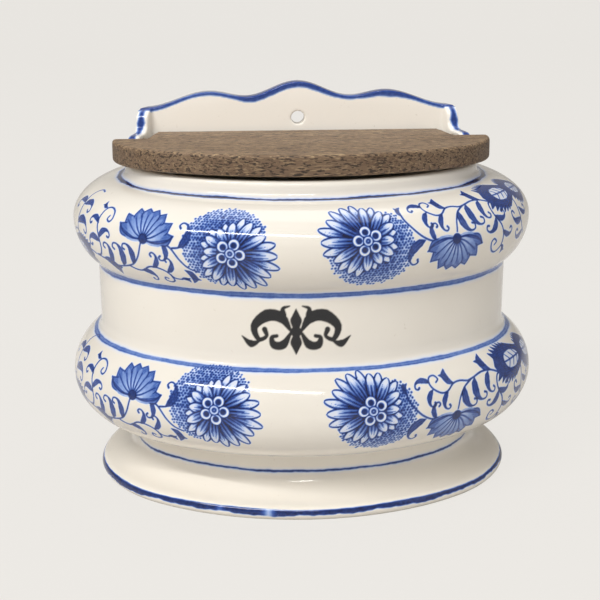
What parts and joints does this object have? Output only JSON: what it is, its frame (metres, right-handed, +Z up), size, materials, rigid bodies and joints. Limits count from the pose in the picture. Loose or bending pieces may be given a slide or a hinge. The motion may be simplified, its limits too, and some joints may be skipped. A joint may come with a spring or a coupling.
{
  "type": "wall salt box with hinged lid",
  "caption": "Ivory glazed wall salt box with two bulges, a scalloped backboard with a hook hole, and a dark wooden lid that turns up on two brass pins",
  "frame": {"origin": "centre of the foot's rim in plan, on the surface it stands on", "axes": "+X to the right seen from the front, +Y toward the wall, +Z up"},
  "size_m": [0.1612, 0.0946, 0.1332],
  "materials": {
    "glazed_earthenware": "gloss",
    "lid_wood": "satin",
    "pin_brass": "satin"
  },
  "bodies": {
    "crock": {"crock": "glazed_earthenware"},
    "lid": {"lid": "lid_wood", "hinge_pin_left": "pin_brass", "hinge_pin_right": "pin_brass"}
  },
  "joints": [
    {"name": "lid_hinge", "type": "hinge", "parent": "crock", "child": "lid", "pos_m": [0, 0.0337, 0.11288], "axis": [-1, 0, 0], "range_deg": [0, 96]}
  ]
}
